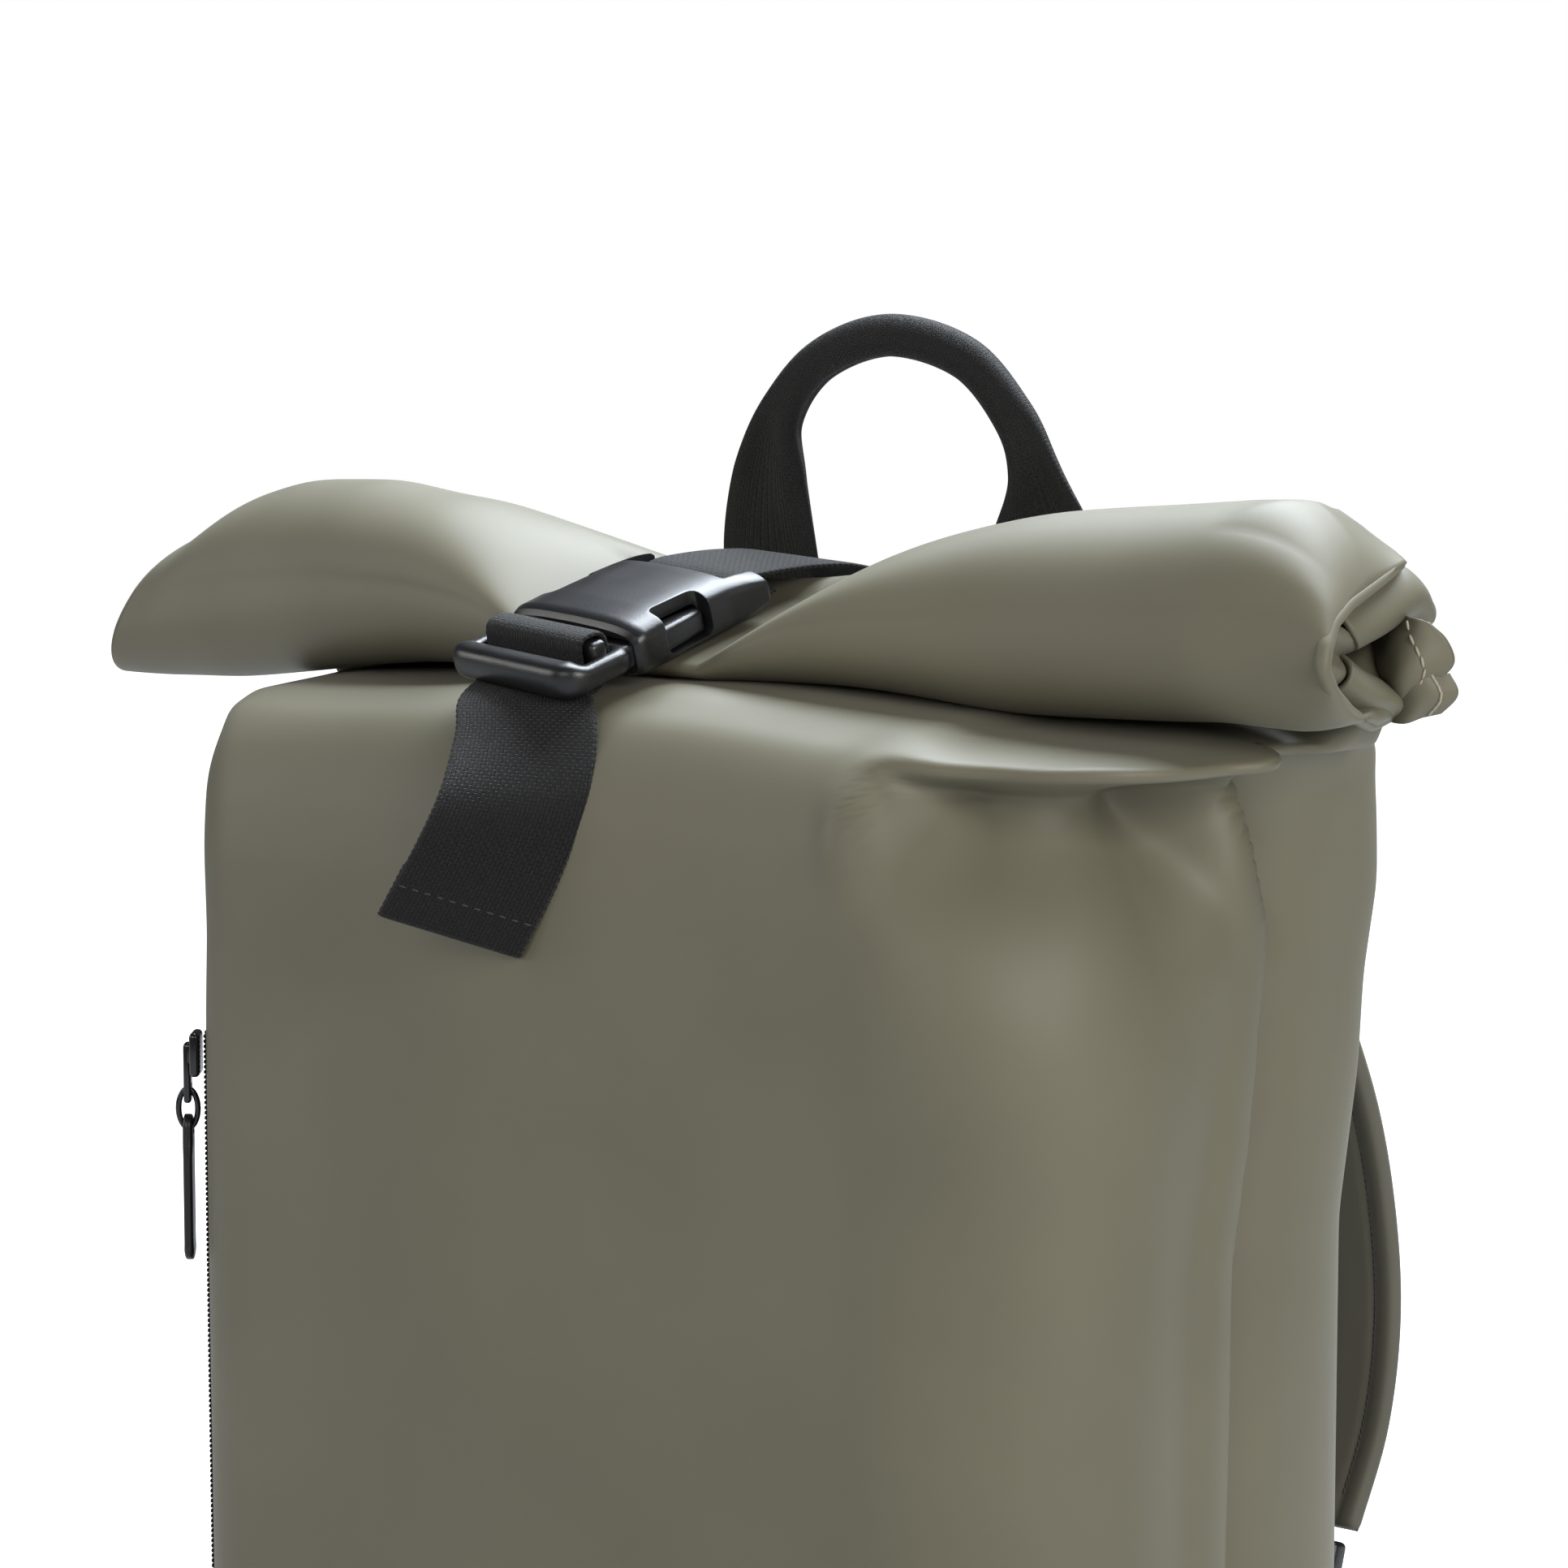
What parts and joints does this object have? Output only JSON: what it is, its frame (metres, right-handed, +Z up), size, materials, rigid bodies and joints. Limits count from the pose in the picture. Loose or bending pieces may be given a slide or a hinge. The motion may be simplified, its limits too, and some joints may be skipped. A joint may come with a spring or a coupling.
{
  "type": "rolltop backpack",
  "caption": "Rolltop backpack of matte olive coated cloth with a rolled mouth held by webbing and a side-release buckle, a grab handle, shoulder straps and a side zip.",
  "frame": {"origin": "middle of the flat base, on the plane that the bag stands on", "axes": "+Z up, +X to the right of someone facing the front, +Y towards the wearer's back"},
  "size_m": [0.4596, 0.2887, 0.493],
  "materials": {
    "coated_cloth": "matte",
    "pad_cloth": "matte",
    "webbing": "matte",
    "buckle_plastic": "satin",
    "zip_metal": "satin"
  },
  "bodies": {
    "root": {"bag_body": "coated_cloth", "base_panel": "coated_cloth", "back_panel": "pad_cloth", "rolled_top": "coated_cloth", "closure_strap": "webbing", "front_strap": "webbing", "grab_handle": "webbing", "buckle_socket": "buckle_plastic", "buckle_plug": "buckle_plastic", "shoulder_strap_left": "coated_cloth", "shoulder_strap_right": "coated_cloth", "strap_webbing_left": "webbing", "strap_webbing_right": "webbing", "strap_slider_left": "buckle_plastic", "strap_slider_right": "buckle_plastic", "strap_anchor_left": "coated_cloth", "strap_anchor_right": "coated_cloth", "zip_tape": "webbing", "zip_teeth": "buckle_plastic", "zip_slider": "zip_metal", "pull_ring": "zip_metal", "pull_tab": "buckle_plastic"}
  },
  "joints": []
}
